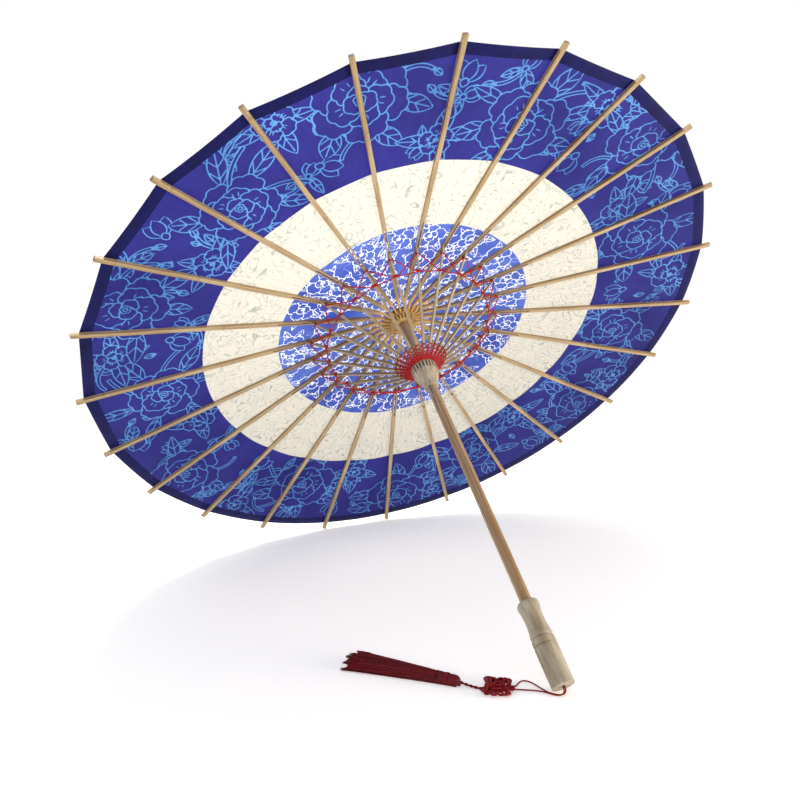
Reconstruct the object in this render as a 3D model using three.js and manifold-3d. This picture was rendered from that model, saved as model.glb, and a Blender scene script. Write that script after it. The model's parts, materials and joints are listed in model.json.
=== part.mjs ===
// An oil paper umbrella with 24 bamboo ribs, open and lying on a floor. Millimetres, +Z up.
// It rests on the edge of its handle's end and on two neighbouring rib tips, at the far side (+Y).
// The umbrella is built upright, with the handle's end at 0 and its axis along Z, and then laid down.
// Arm number k, a rib with its stretcher, stands at (k + 1/2) * 15 degrees from X, so a gap faces +Y.
import * as THREE from "three";
import { mergeVertices } from "three/addons/utils/BufferGeometryUtils.js";
import Module from "manifold-3d";

const wasm = await Module();
wasm.setup();

// ---- Driving dimensions ----
const RIBS = 24;
const RIM_RADIUS = 420; // from the axis to a rib's tip
const RIM_HEIGHT = 465.6; // plane of the rib tips
const GAP = 0.3; // between pieces that touch

const SHAFT_RADIUS = 6.5;
const SHAFT_BOTTOM = 42;
const SHAFT_TOP = 536;

const HANDLE_LENGTH = 92;
const HANDLE_RADIUS = 12.2; // at the flat end
const END_CHAMFER = 0.6;
const CORD_HOLE_RADIUS = 2.4;
const CORD_HOLE_DEPTH = 20;

const NOTCH_PIVOT_RADIUS = 15; // the ring of thread that the ribs turn on
const NOTCH_PIVOT_HEIGHT = 515.4;
const NOTCH_RADIUS = 18.5;
const NOTCH_SLOT = 2.3;
const NOTCH_SLOT_FLOOR = 12.6;

const RIB_BOTTOM = 3; // the rib's faces, measured from its pivot towards the paper
const RIB_TOP = 7;
const RIB_MIDDLE = (RIB_BOTTOM + RIB_TOP) / 2;
const RIB_HEAD_THICKNESS = 1.8;
const RIB_HEAD_RADIUS = 2.1;
const RIB_WIDTH_NEAR = 4.6;
const RIB_WIDTH_TIP = 5.4;
const JOINT_ALONG_RIB = 121; // from the rib's pivot to its stretcher's joint
const RIB_SLOT = 2.3;

const RUNNER_PIVOT_RADIUS = 13.5;
const RUNNER_PIVOT_HEIGHT = 427.6;
const RUNNER_SLOT = 2.2;
const STRETCHER_WIDTH = 3.2;
const STRETCHER_HALF_DEPTH = 1.5;
const STRETCHER_INNER_END = 1.7; // thickness in the runner's slot
const STRETCHER_OUTER_END = 1.8; // thickness in the rib's slot

const PAPER_RADIUS = 411;
const PAPER_HOLE_RADIUS = 7.3;
const PAPER_THICKNESS = 0.6;

const CATCH_ANGLE = 215; // degrees from X
const CATCH_FOOT = 358;
const CATCH_TOP = 394.3;

// ---- Materials ----
const paint = (color, roughness, metalness = 0) =>
  new THREE.MeshStandardMaterial({ color, roughness, metalness });
const BAMBOO = paint(0xcdb38a, 0.55);
const LACQUERED = paint(0xb78a58, 0.35);
const PALE_WOOD = paint(0xc2b59c, 0.7);
const PAPER = paint(0x4848b8, 0.6);
const STEEL = paint(0x9a9a98, 0.3, 1);
const THREAD = paint(0xd8ccb0, 0.8);
const RED_CORD = paint(0x8c1620, 0.7);
const RED_SILK = paint(0x9c0f1c, 0.6);

// ---- Solids ----
// A closed geometry as a solid that can be joined and cut.
function solid(geometry) {
  const bare = geometry.clone();
  bare.deleteAttribute("normal");
  bare.deleteAttribute("uv");
  const merged = mergeVertices(bare, 1e-4);
  return new wasm.Manifold(
    new wasm.Mesh({
      numProp: 3,
      vertProperties: merged.attributes.position.array,
      triVerts: new Uint32Array(merged.index.array),
    }),
  );
}

function geometryOf(cut) {
  const { vertProperties, triVerts } = cut.getMesh();
  const indexed = new THREE.BufferGeometry();
  indexed.setAttribute("position", new THREE.BufferAttribute(vertProperties, 3));
  indexed.setIndex(new THREE.BufferAttribute(triVerts, 1));
  const flat = indexed.toNonIndexed();
  flat.computeVertexNormals();
  return flat;
}

const joined = (parts) => parts.reduce((whole, part) => whole.add(part));
const without = (body, cuts) => body.subtract(joined(cuts));

// An outline in the XY plane made a plate of this thickness, half on each side of the plane.
function plate(outline, thickness) {
  const drawn = outline instanceof THREE.Shape;
  const shape = drawn ? outline : new THREE.Shape(outline.map(([x, y]) => new THREE.Vector2(x, y)));
  const geometry = new THREE.ExtrudeGeometry(shape, {
    depth: thickness,
    bevelEnabled: false,
    curveSegments: 2,
  });
  return geometry.translate(0, 0, -thickness / 2);
}

// The same plate standing up: its outline's x stays, and its y becomes Z.
const standing = (outline, thickness) => plate(outline, thickness).rotateX(Math.PI / 2);

// A profile of [radius, height] pairs turned about Z, with a corner of its polygon at this angle.
function turned(profile, sides, corner = 0) {
  const points = profile.map(([r, z]) => new THREE.Vector2(r, z));
  return new THREE.LatheGeometry(points, sides, corner).rotateX(Math.PI / 2);
}

// A ring of round section: its straight pieces each cross one arm squarely, at this radius.
function ring(radius, height, section, sides = 6) {
  const corner = radius / Math.cos(Math.PI / RIBS);
  const circle = Array.from({ length: sides + 1 }, (_, n) => {
    const turn = ((n % sides) * 2 * Math.PI) / sides;
    return [corner + section * Math.cos(turn), height + section * Math.sin(turn)];
  });
  return turned(circle, RIBS);
}

// A pin or hole of six sides across a plate, at this place in its outline.
const across = (x, y, radius, length) =>
  new THREE.CylinderGeometry(radius, radius, length, 6).rotateX(Math.PI / 2).translate(x, y, 0);

const armAngle = (k) => ((k + 0.5) * 2 * Math.PI) / RIBS;
const aroundArms = (make) => Array.from({ length: RIBS }, (_, k) => make().rotateZ(armAngle(k)));

// ---- Linkage, in the plane of one arm, where x is the distance from the axis and y the height ----
const notchPivot = new THREE.Vector2(NOTCH_PIVOT_RADIUS, NOTCH_PIVOT_HEIGHT);
const runnerPivot = new THREE.Vector2(RUNNER_PIVOT_RADIUS, RUNNER_PIVOT_HEIGHT);
const tip = new THREE.Vector2(RIM_RADIUS, RIM_HEIGHT);
const toTip = tip.clone().sub(notchPivot);
const ribLength = Math.sqrt(toTip.lengthSq() - RIB_MIDDLE ** 2);
const ribPitch = toTip.angle() - 2 * Math.PI - Math.atan(RIB_MIDDLE / ribLength);
const ORIGIN = new THREE.Vector2();
const ribPoint = (x, y) => new THREE.Vector2(x, y).rotateAround(ORIGIN, ribPitch).add(notchPivot);
const joint = ribPoint(JOINT_ALONG_RIB, RIB_MIDDLE);
const toJoint = joint.clone().sub(runnerPivot);
const stretcherLength = toJoint.length();
const stretcherPitch = toJoint.angle();

// Height of a plane that lies this far above the ribs' pivots, measured along the rib's own normal.
const coneHeight = (radius, offset) =>
  NOTCH_PIVOT_HEIGHT + (radius - NOTCH_PIVOT_RADIUS) * Math.tan(ribPitch) + offset / Math.cos(ribPitch);

// ---- Ribs ----
function rib() {
  const side = new THREE.Shape();
  side.absarc(0, 0, RIB_HEAD_RADIUS, Math.PI / 2, (3 * Math.PI) / 2);
  side.lineTo(9, -0.8);
  side.lineTo(14, RIB_BOTTOM);
  side.lineTo(ribLength, RIB_BOTTOM);
  side.lineTo(ribLength, RIB_TOP);
  side.lineTo(12, RIB_TOP);
  const head = RIB_HEAD_THICKNESS / 2;
  const near = RIB_WIDTH_NEAR / 2;
  const far = RIB_WIDTH_TIP / 2;
  const plan = [
    [-RIB_HEAD_RADIUS - 1, -head],
    [16, -head],
    [25, -near],
    [ribLength + 1, -far],
    [ribLength + 1, far],
    [25, near],
    [16, head],
    [-RIB_HEAD_RADIUS - 1, head],
  ];
  const slotStart = JOINT_ALONG_RIB - 8;
  const slotEnd = JOINT_ALONG_RIB + 45;
  const slot = new THREE.BoxGeometry(slotEnd - slotStart, RIB_TOP, RIB_SLOT);
  slot.translate((slotStart + slotEnd) / 2, RIB_MIDDLE, 0);
  const seen = solid(plate(side, RIB_WIDTH_TIP + 1));
  const planned = solid(standing(plan, 4 * RIB_TOP));
  const bar = seen.intersect(planned);
  return geometryOf(
    without(bar, [
      solid(slot),
      solid(across(0, 0, 1, RIB_WIDTH_TIP)),
      solid(across(JOINT_ALONG_RIB, RIB_MIDDLE, 1.1, RIB_WIDTH_TIP + 1)),
    ]),
  );
}

// ---- Stretchers: from the runner's pivot at 0 out to the joint, with the hinge pin of that joint ----
function stretcher() {
  const side = new THREE.Shape();
  side.absarc(0, 0, STRETCHER_HALF_DEPTH, Math.PI / 2, (3 * Math.PI) / 2);
  side.absarc(stretcherLength, 0, STRETCHER_HALF_DEPTH, -Math.PI / 2, Math.PI / 2);
  const inner = STRETCHER_INNER_END / 2;
  const outer = STRETCHER_OUTER_END / 2;
  const half = STRETCHER_WIDTH / 2;
  const plan = [
    [-2, inner],
    [20, inner],
    [26, half],
    [stretcherLength - 50, half],
    [stretcherLength - 44, outer],
    [stretcherLength + 2, outer],
  ];
  const mirrored = plan.map(([x, z]) => [x, -z]).reverse();
  const seen = solid(plate(side, STRETCHER_WIDTH + 1));
  const planned = solid(standing([...plan, ...mirrored], 4 * STRETCHER_HALF_DEPTH));
  const bar = seen.intersect(planned).subtract(solid(across(0, 0, 0.85, STRETCHER_WIDTH)));
  return geometryOf(bar.add(solid(across(stretcherLength, 0, 0.6, RIB_WIDTH_NEAR - 0.4))));
}

// ---- Top notch: a slotted disc on the shaft, drilled round for the ring of thread ----
function topNotch() {
  const low = NOTCH_PIVOT_HEIGHT - 7;
  const high = NOTCH_PIVOT_HEIGHT + 5.5;
  const bore = SHAFT_RADIUS + GAP;
  const disc = turned(
    [
      [bore, low],
      [NOTCH_RADIUS - 1.5, low],
      [NOTCH_RADIUS, low + 1.5],
      [NOTCH_RADIUS, high],
      [bore, high],
      [bore, low],
    ],
    RIBS,
  );
  const slots = aroundArms(() =>
    new THREE.BoxGeometry(10, NOTCH_SLOT, 20).translate(NOTCH_SLOT_FLOOR + 5, 0, NOTCH_PIVOT_HEIGHT),
  );
  const channel = ring(NOTCH_PIVOT_RADIUS, NOTCH_PIVOT_HEIGHT, 1, 4);
  return geometryOf(without(solid(disc), [...slots, channel].map(solid)));
}

// ---- Runner: a bell with slots whose floors slope outwards, so that the stretchers swing clear ----
function runner() {
  const bore = SHAFT_RADIUS + GAP;
  const profile = [
    [bore, -33],
    [9.4, -33],
    [11, -26],
    [15.2, -14],
    [17, -6],
    [17, 0],
    [15.5, 3],
    [bore, 3],
    [bore, -33],
  ];
  const bell = turned(profile, RIBS).translate(0, 0, RUNNER_PIVOT_HEIGHT);
  const slotOutline = [
    [11.2, 6],
    [11.2, -3],
    [13.8, -16],
    [21, -16],
    [21, 6],
  ];
  const slots = aroundArms(() => standing(slotOutline, RUNNER_SLOT).translate(0, 0, RUNNER_PIVOT_HEIGHT));
  const channel = ring(RUNNER_PIVOT_RADIUS, RUNNER_PIVOT_HEIGHT, 0.9, 4);
  return geometryOf(without(solid(bell), [...slots, channel].map(solid)));
}

// ---- Shaft with the cut that the catch lies in ----
function shaft() {
  const length = SHAFT_TOP - SHAFT_BOTTOM;
  const rod = new THREE.CylinderGeometry(SHAFT_RADIUS, SHAFT_RADIUS, length, 32).rotateX(Math.PI / 2);
  rod.translate(0, 0, (SHAFT_TOP + SHAFT_BOTTOM) / 2);
  const cutLow = CATCH_FOOT - 3;
  const cutHigh = CATCH_TOP + 1.2;
  const cut = new THREE.BoxGeometry(12, 2.4, cutHigh - cutLow);
  cut.translate(2, 0, (cutHigh + cutLow) / 2);
  cut.rotateZ(THREE.MathUtils.degToRad(CATCH_ANGLE));
  return geometryOf(solid(rod).subtract(solid(cut)));
}

// ---- Catch: a steel strip that turns at its foot, with a hook under the runner ----
function catchStrip() {
  return standing(
    [
      [2, CATCH_FOOT - 2.2],
      [4.6, CATCH_FOOT - 2.2],
      [4.8, CATCH_TOP - 26],
      [6.2, CATCH_TOP - 18],
      [10, CATCH_TOP - 5],
      [10.4, CATCH_TOP],
      [3.4, CATCH_TOP],
      [3.4, CATCH_TOP - 20],
    ],
    1.6,
  ).rotateZ(THREE.MathUtils.degToRad(CATCH_ANGLE));
}

// ---- Handle: turned, bored for the shaft, with a narrower hole for the cord at its flat end ----
function handle() {
  const bore = SHAFT_RADIUS + GAP;
  return turned(
    [
      [CORD_HOLE_RADIUS, 0],
      [HANDLE_RADIUS - END_CHAMFER, 0],
      [HANDLE_RADIUS, END_CHAMFER],
      [12.4, 42],
      [11.3, 43.2],
      [12.3, 44.5],
      [12.1, 50.4],
      [11, 51.6],
      [11.8, 53],
      [10.5, 69],
      [11.8, 82],
      [11.6, 89],
      [10, HANDLE_LENGTH],
      [bore, HANDLE_LENGTH],
      [bore, CORD_HOLE_DEPTH],
      [CORD_HOLE_RADIUS, CORD_HOLE_DEPTH],
      [CORD_HOLE_RADIUS, 0],
    ],
    24,
  );
}

// ---- Canopy: one sheet over the ribs, folded along each rib and cut straight from tip to tip ----
function canopy() {
  const low = RIB_TOP + 0.45;
  const high = low + PAPER_THICKNESS;
  const radii = [PAPER_HOLE_RADIUS, 60, 135, 210, 285, 350, PAPER_RADIUS];
  const under = radii.map((r) => [r, coneHeight(r, low)]);
  const over = radii.map((r) => [r, coneHeight(r, high)]).reverse();
  return turned([...under, ...over, under[0]], RIBS, Math.PI / RIBS);
}

// ---- Cap: turned finial on the shaft's top, over the middle of the canopy ----
function topCap() {
  const bore = SHAFT_RADIUS + GAP;
  const seat = (radius) => coneHeight(radius, RIB_TOP + 0.45 + PAPER_THICKNESS) + GAP;
  return turned(
    [
      [0, SHAFT_TOP + GAP],
      [bore, SHAFT_TOP + GAP],
      [bore, seat(bore)],
      [20, seat(20)],
      [20.4, seat(20) + 1.6],
      [18, seat(20) + 4.6],
      [12, seat(20) + 8],
      [9, seat(20) + 11],
      [8.2, seat(20) + 13.5],
      [8.8, seat(20) + 16],
      [7.6, seat(20) + 20],
      [4.6, seat(20) + 23],
      [0, seat(20) + 24.4],
    ],
    24,
  );
}

// ---- The umbrella, upright ----
const upright = new THREE.Group();

function add(group, name, geometry, material) {
  const mesh = new THREE.Mesh(geometry, material);
  mesh.name = name;
  group.add(mesh);
  return mesh;
}

add(upright, "shaft", shaft(), LACQUERED);
add(upright, "handle", handle(), PALE_WOOD);
add(upright, "top_notch", topNotch(), PALE_WOOD);
add(upright, "runner", runner(), PALE_WOOD);
add(upright, "latch", catchStrip(), STEEL);
add(upright, "canopy", canopy(), PAPER);
add(upright, "top_cap", topCap(), PALE_WOOD);
add(upright, "notch_cord", ring(NOTCH_PIVOT_RADIUS, NOTCH_PIVOT_HEIGHT, 0.45), THREAD);
add(upright, "runner_cord", ring(RUNNER_PIVOT_RADIUS, RUNNER_PIVOT_HEIGHT, 0.4), THREAD);

const ribGeometry = rib();
const stretcherGeometry = stretcher();
for (let k = 0; k < RIBS; k++) {
  const number = String(k + 1).padStart(2, "0");
  const arm = new THREE.Group();
  arm.rotation.z = armAngle(k);
  upright.add(arm);
  const bar = add(arm, `rib_${number}`, ribGeometry, BAMBOO);
  bar.position.set(notchPivot.x, 0, notchPivot.y);
  bar.rotation.set(Math.PI / 2, 0, ribPitch);
  const strut = add(arm, `stretcher_${number}`, stretcherGeometry, BAMBOO);
  strut.position.set(runnerPivot.x, 0, runnerPivot.y);
  strut.rotation.set(Math.PI / 2, 0, stretcherPitch);
}

// ---- Laid down: the handle's lower edge and the two lowest rib tips meet the floor ----
const restCorner = ribPoint(ribLength, RIB_BOTTOM);
const halfGap = Math.PI / RIBS;
const restRadius = restCorner.x * Math.cos(halfGap) + (RIB_WIDTH_TIP / 2) * Math.sin(halfGap);
const tilt = Math.atan2(restCorner.y - END_CHAMFER, restRadius - HANDLE_RADIUS);
upright.rotation.x = -tilt;
const box = new THREE.Box3().setFromObject(upright, true);
const centre = box.getCenter(new THREE.Vector3());
upright.position.set(-centre.x, -centre.y, -box.min.z);

// ---- Tassel: it lies on the floor beside the handle, on a cord that is looped through the handle ----
// Its route is measured from the point where the handle meets the floor.
const footY = upright.position.y + HANDLE_RADIUS * Math.cos(tilt) + END_CHAMFER * Math.sin(tilt);
const CORD_RADIUS = 0.8;

// Both strands leave the stopper knot inside the handle, come out of its end and bend to the floor.
const STOPPER = [0, 12.4, 26.9];
const OUT_OF_HANDLE = [
  STOPPER,
  [0, 5.6, 21],
  [0, -1.2, 15.1],
  [0, -7, 10.1],
  [0, -10, 7.5],
  [-0.9, -12.2, 5.1],
  [-3.2, -12.6, 3.1],
  [-6.3, -10.4, 1.8],
  [-9.2, -6.2, 1.2],
];
const REAR_STRAND = [
  [-11.6, -1.2, 1],
  [-13.4, 5, 1],
  [-14.8, 12, 1],
  [-16, 19.5, 1],
  [-18.2, 26.6, 1],
  [-22.4, 30.6, 1],
  [-28, 29.2, 1],
  [-34.4, 24.3, 1],
];
const FRONT_STRAND = [
  [-12.8, -1.6, 1],
  [-16.2, 3.2, 1],
  [-20.4, 7.2, 1],
  [-25.6, 10.8, 1],
  [-31, 14.2, 1],
  [-37.6, 18.5, 1],
];

const onFloor = (x, y, z) => new THREE.Vector3(x, y + footY, z);

// The strands lie side by side in the handle, this far from the middle.
const SIDE_BY_SIDE = 0.9;

function strand(run, side) {
  const start = OUT_OF_HANDLE.map(([x, y, z]) => onFloor(x + side * SIDE_BY_SIDE, y, z));
  const path = new THREE.CatmullRomCurve3([...start, ...run.map((point) => onFloor(...point))]);
  const section = new THREE.Shape().absarc(0, 0, CORD_RADIUS, 0, 2 * Math.PI);
  const steps = Math.round(path.getLength() / (6 * CORD_RADIUS));
  return new THREE.ExtrudeGeometry(section, { extrudePath: path, steps, curveSegments: 4 });
}

function tasselLoop() {
  const stopper = new THREE.IcosahedronGeometry(4, 1).translate(...onFloor(...STOPPER));
  return geometryOf(joined([stopper, strand(REAR_STRAND, 1), strand(FRONT_STRAND, -1)].map(solid)));
}

// Knot and tassel: each an outline seen from above, as high as its side view, turned about Z into place.
const KNOT = { x: -53.2, y: 28, turn: 150 };
const TASSEL = { x: -70.2, y: 35, turn: 131.6 };
const KNOT_HEIGHT = 9.5;
const TASSEL_LENGTH = 150;

function laid(geometry, { x, y, turn }) {
  geometry.rotateZ(THREE.MathUtils.degToRad(turn));
  return geometry.translate(x, y + footY, GAP);
}

function tasselKnot() {
  const outline = [
    [-17, -9],
    [-9, -18.5],
    [9, -18.5],
    [17, -9],
    [17, 9],
    [9, 18.5],
    [-9, 18.5],
    [-17, 9],
  ];
  return laid(plate(outline, KNOT_HEIGHT).translate(0, 0, KNOT_HEIGHT / 2), KNOT);
}

function tassel() {
  const halfWidths = [
    [0, 1],
    [20, 1],
    [21, 4.6],
    [25, 5.6],
    [33, 5.8],
    [60, 8],
    [100, 12.4],
    [TASSEL_LENGTH, 20],
  ];
  const heights = [
    [0, 2.2],
    [20, 2.2],
    [21, 8],
    [25, 10.5],
    [33, 10.8],
    [60, 12.5],
    [100, 13.5],
    [TASSEL_LENGTH, 12],
  ];
  const far = halfWidths.map(([x, y]) => [x, -y]).reverse();
  const seenAbove = solid(plate([...halfWidths, ...far], 30));
  const seenBeside = solid(standing([[TASSEL_LENGTH, 0], [0, 0], ...heights], 60));
  return laid(geometryOf(seenAbove.intersect(seenBeside)), TASSEL);
}

const object = new THREE.Group();
object.add(upright);
add(object, "tassel_loop", tasselLoop(), RED_CORD);
add(object, "tassel_knot", tasselKnot(), RED_CORD);
add(object, "tassel", tassel(), RED_SILK);

export default object;
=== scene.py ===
"""An oil paper umbrella, open and lying on a floor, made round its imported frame. Metres, +Z up."""

import json
import math

import bmesh
import bpy
import numpy as np
from mathutils import Euler, Matrix, Vector


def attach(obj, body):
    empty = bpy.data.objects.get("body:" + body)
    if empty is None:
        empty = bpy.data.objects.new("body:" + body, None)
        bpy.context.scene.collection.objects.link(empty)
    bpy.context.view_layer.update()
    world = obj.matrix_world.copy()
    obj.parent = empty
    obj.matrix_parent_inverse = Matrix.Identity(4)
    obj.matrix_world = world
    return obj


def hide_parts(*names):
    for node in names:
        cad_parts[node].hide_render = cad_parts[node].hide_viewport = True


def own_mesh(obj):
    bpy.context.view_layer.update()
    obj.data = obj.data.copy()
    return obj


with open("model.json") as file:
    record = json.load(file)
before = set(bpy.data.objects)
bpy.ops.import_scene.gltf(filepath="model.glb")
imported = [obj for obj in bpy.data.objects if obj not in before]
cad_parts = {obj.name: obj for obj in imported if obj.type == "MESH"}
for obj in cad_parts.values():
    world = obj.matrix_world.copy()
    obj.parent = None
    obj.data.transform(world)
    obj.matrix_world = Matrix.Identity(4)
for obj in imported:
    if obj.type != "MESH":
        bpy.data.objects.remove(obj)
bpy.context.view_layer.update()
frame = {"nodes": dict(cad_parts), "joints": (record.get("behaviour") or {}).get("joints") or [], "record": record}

# ---- Camera ----
# It stands to the left of the handle, a metre off, and looks up into the open canopy.
# The horizon leans a little to the right.
camera_data = bpy.data.cameras.new("camera")
camera_data.lens = 37.4
camera_data.sensor_width = 36
camera = bpy.data.objects.new("camera", camera_data)
camera.location = (-0.4213, -0.9577, 0.4155)
HEADING = 21.77  # degrees from +Y towards +X
DIP = 8.90
LEAN = -1.83
level_view = Euler((math.radians(90 - DIP), 0, math.radians(-HEADING))).to_matrix()
camera.rotation_euler = (level_view @ Matrix.Rotation(math.radians(LEAN), 3, "Z")).to_euler()
bpy.context.scene.collection.objects.link(camera)
bpy.context.scene.camera = camera

# ---- Floor and light ----
# A plain pale floor that runs into a pale room.
# A lamp above and behind shines through the paper, and one low at the right lights the inside.
bpy.context.scene.view_settings.view_transform = "Standard"


def linear(code):
    """An sRGB colour such as "c8b48a" as linear red, green, blue and 1: ((c + 0.055) / 1.055) ** 2.4."""
    parts = np.array([int(code[i : i + 2], 16) for i in (0, 2, 4)]) / 255
    bright = ((parts + 0.055) / 1.055) ** 2.4
    return [*np.where(parts <= 0.04045, parts / 12.92, bright), 1.0]


def add(tree, kind, inputs=None, stops=None, **settings):
    """Adds a shader node. An input is a value, a node's output, or a node, which gives its first output.
    Stops fill a colour ramp: each is a place from 0 to 1 and an sRGB colour."""
    made = tree.nodes.new("ShaderNode" + kind)
    for key, value in settings.items():
        setattr(made, key, value)
    for key, value in (inputs or {}).items():
        if isinstance(value, bpy.types.Node):
            value = value.outputs[0]
        if isinstance(value, bpy.types.NodeSocket):
            tree.links.new(value, made.inputs[key])
        else:
            made.inputs[key].default_value = value
    for at, (place_on_ramp, colour) in enumerate(stops or []):
        ramp = made.color_ramp.elements
        stop = ramp[at] if at < 2 else ramp.new(place_on_ramp)
        stop.position = place_on_ramp
        stop.color = linear(colour)
    return made


def material_of(name, **sockets):
    """A new material with its Principled shader's own sockets set, such as Roughness."""
    made = bpy.data.materials.new(name)
    made.use_nodes = True
    shader = made.node_tree.nodes["Principled BSDF"]
    for key, value in sockets.items():
        shader.inputs[key.replace("_", " ")].default_value = value
    return made, made.node_tree, shader


def finish(tree, shader, colour=None, height=None, strength=0.0, depth=0.0):
    """Gives a Principled shader its colour and a relief, depth metres deep, and returns the relief."""
    if colour is not None:
        tree.links.new(colour.outputs[0], shader.inputs["Base Color"])
    if height is not None:
        relief = add(tree, "Bump", {"Height": height, "Strength": strength, "Distance": depth})
        tree.links.new(relief.outputs[0], shader.inputs["Normal"])
        return relief


def lamp(name, place_at, aimed_at, width, watts, colour):
    """A round lamp, width metres across, that stands at one place and shines at another."""
    data = bpy.data.lights.new(name, "AREA")
    data.shape = "DISK"
    data.size = width
    data.energy = watts
    data.color = linear(colour)[:3]
    made = bpy.data.objects.new(name, data)
    made.visible_camera = False
    made.location = place_at
    made.rotation_euler = (Vector(aimed_at) - Vector(place_at)).to_track_quat("-Z", "Y").to_euler()
    bpy.context.scene.collection.objects.link(made)


lamp("lamp_behind", (-0.15, 0.36, 1.2), (-0.05, -0.1, 0.5), 0.5, 15, "fffaf2")
lamp("lamp_right", (1.15, -1.0, 0.3), (0.1, -0.1, 0.3), 0.45, 16, "fff2e0")

# A wide even light from straight above fills the room, as a lit ceiling does.
ceiling_data = bpy.data.lights.new("ceiling", "SUN")
ceiling_data.energy = 0.6
ceiling_data.angle = math.radians(70)
ceiling = bpy.data.objects.new("ceiling", ceiling_data)
ceiling.rotation_euler = Vector((0.22, -0.3, -1)).to_track_quat("-Z", "Y").to_euler()
bpy.context.scene.collection.objects.link(ceiling)

# The room's walls look white, and give less light than the lamps.
WALL_LIGHT = 0.5
world = bpy.data.worlds.new("pale_room")
world.use_nodes = True
tree = world.node_tree
seen_directly = add(tree, "LightPath").outputs["Is Camera Ray"]
strength = add(tree, "MapRange", {"Value": seen_directly, "To Min": WALL_LIGHT, "To Max": 1.0}).outputs[0]
background = tree.nodes["Background"]
background.inputs["Color"].default_value = linear("ffffff")
tree.links.new(strength, background.inputs["Strength"])
bpy.context.scene.world = world

floor_mesh = bpy.data.meshes.new("floor")
HALF_FLOOR = 30.0
floor_corners = [(x * HALF_FLOOR, y * HALF_FLOOR, 0) for x, y in ((-1, -1), (1, -1), (1, 1), (-1, 1))]
floor_mesh.from_pydata(floor_corners, [], [(0, 1, 2, 3)])
floor = bpy.data.objects.new("floor", floor_mesh)
floor_paint, _, _ = material_of(
    "matt_pale_paint", Base_Color=linear("fbfafa"), Roughness=0.9,
    Emission_Color=linear("ffffff"), Emission_Strength=0.37)
floor_mesh.materials.append(floor_paint)
bpy.context.scene.collection.objects.link(floor)

# ---- Tassel cord ----
# Two strands of thin twisted red cord, from a stopper knot inside the handle out of the hole in its end.
# They bend to the floor and lie apart on it, and both go into the decorative knot.
end_face = frame["record"]["mounts"][0]
AXIS = -np.array(end_face["axis"])
ACROSS = np.array([1.0, 0.0, 0.0])
SIDE = np.array([0.0, AXIS[2], -AXIS[1]])
HANDLE_END = np.array(end_face["pos_m"]) * [0, 1, 1]
FOOT = HANDLE_END[1] + (12.2 * SIDE[1] + 0.6 * AXIS[1]) / 1000  # where the handle's edge meets the floor
CORD_RADIUS = 0.8
PLY_PITCH = 5.2  # one turn of the three plies, in mm
SIDE_BY_SIDE = 0.9
STOPPER = [0, 12.4, 26.9]
OUT_OF_HANDLE = [
    STOPPER,
    [0, 5.6, 21],
    [0, -1.2, 15.1],
    [0, -7, 10.1],
    [0, -10, 7.5],
    [-0.9, -12.2, 5.1],
    [-3.2, -12.6, 3.1],
    [-6.3, -10.4, 1.8],
    [-9.2, -6.2, 1.2],
]
REAR_STRAND = [
    [-11.6, -1.2, 1],
    [-13.4, 5, 1],
    [-14.8, 12, 1],
    [-16, 19.5, 1],
    [-18.2, 26.6, 1],
    [-22.4, 30.6, 1],
    [-28, 29.2, 1],
    [-34.4, 24.3, 1],
]
FRONT_STRAND = [
    [-12.8, -1.6, 1],
    [-16.2, 3.2, 1],
    [-20.4, 7.2, 1],
    [-25.6, 10.8, 1],
    [-31, 14.2, 1],
    [-37.6, 18.5, 1],
]


def unit(vectors):
    """Vectors over their own length."""
    return vectors / np.linalg.norm(vectors, axis=-1, keepdims=True)


def curve_through(points, step):
    """Points evenly spaced, step apart, on the cubic curve through the given ones. Between b and c, with a
    before and d after, it is (2b + (c - a)t + (2a - 5b + 4c - d)t^2 + (3b - a - 3c + d)t^3) / 2."""
    p = np.array(points, float)
    p = np.concatenate([[2 * p[0] - p[1]], p, [2 * p[-1] - p[-2]]])
    a, b, c, d = (p[i : len(p) - 3 + i, None] for i in range(4))
    t = np.linspace(0, 1, 40, endpoint=False)[:, None]
    fine = (2 * b + (c - a) * t + (2 * a - 5 * b + 4 * c - d) * t**2 + (3 * b - a - 3 * c + d) * t**3) / 2
    fine = np.concatenate([fine.reshape(-1, 3), p[-2:-1]])
    along = np.concatenate([[0], np.cumsum(np.linalg.norm(np.diff(fine, axis=0), axis=1))])
    at = np.linspace(0, along[-1], max(2, round(along[-1] / step) + 1))
    return np.stack([np.interp(at, along, fine[:, k]) for k in range(3)], axis=1)


def tube(path, section, up=(0, 0, 1), closed=False):
    """A ring of points round each point of a path: the point plus across times the section's x, plus
    above times its y, where across is the path's direction times up, and above is square to both."""
    if closed:
        direction = unit(np.roll(path, -1, axis=0) - np.roll(path, 1, axis=0))
    else:
        direction = unit(np.gradient(path, axis=0))
    across = unit(np.cross(direction, np.array(up, float)))
    above = np.cross(across, direction)
    section = np.broadcast_to(section, (len(path), *section.shape[-2:]))
    return path[:, None] + section[..., :1] * across[:, None] + section[..., 1:] * above[:, None]


def round_section(radius, sides, plies=0, depth=0.0, turn=0.0):
    """x and y of a circle of this radius. With plies it has that many lobes: the radius is
    multiplied by 1 - depth + depth |cos(plies (angle - turn) / 2)|."""
    angle = np.arange(sides) * 2 * np.pi / sides
    lobes = np.abs(np.cos(plies / 2 * (angle - np.asarray(turn)[..., None])))
    size = radius * (1 - depth + depth * lobes)
    return np.stack([size * np.cos(angle), size * np.sin(angle)], axis=-1)


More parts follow.
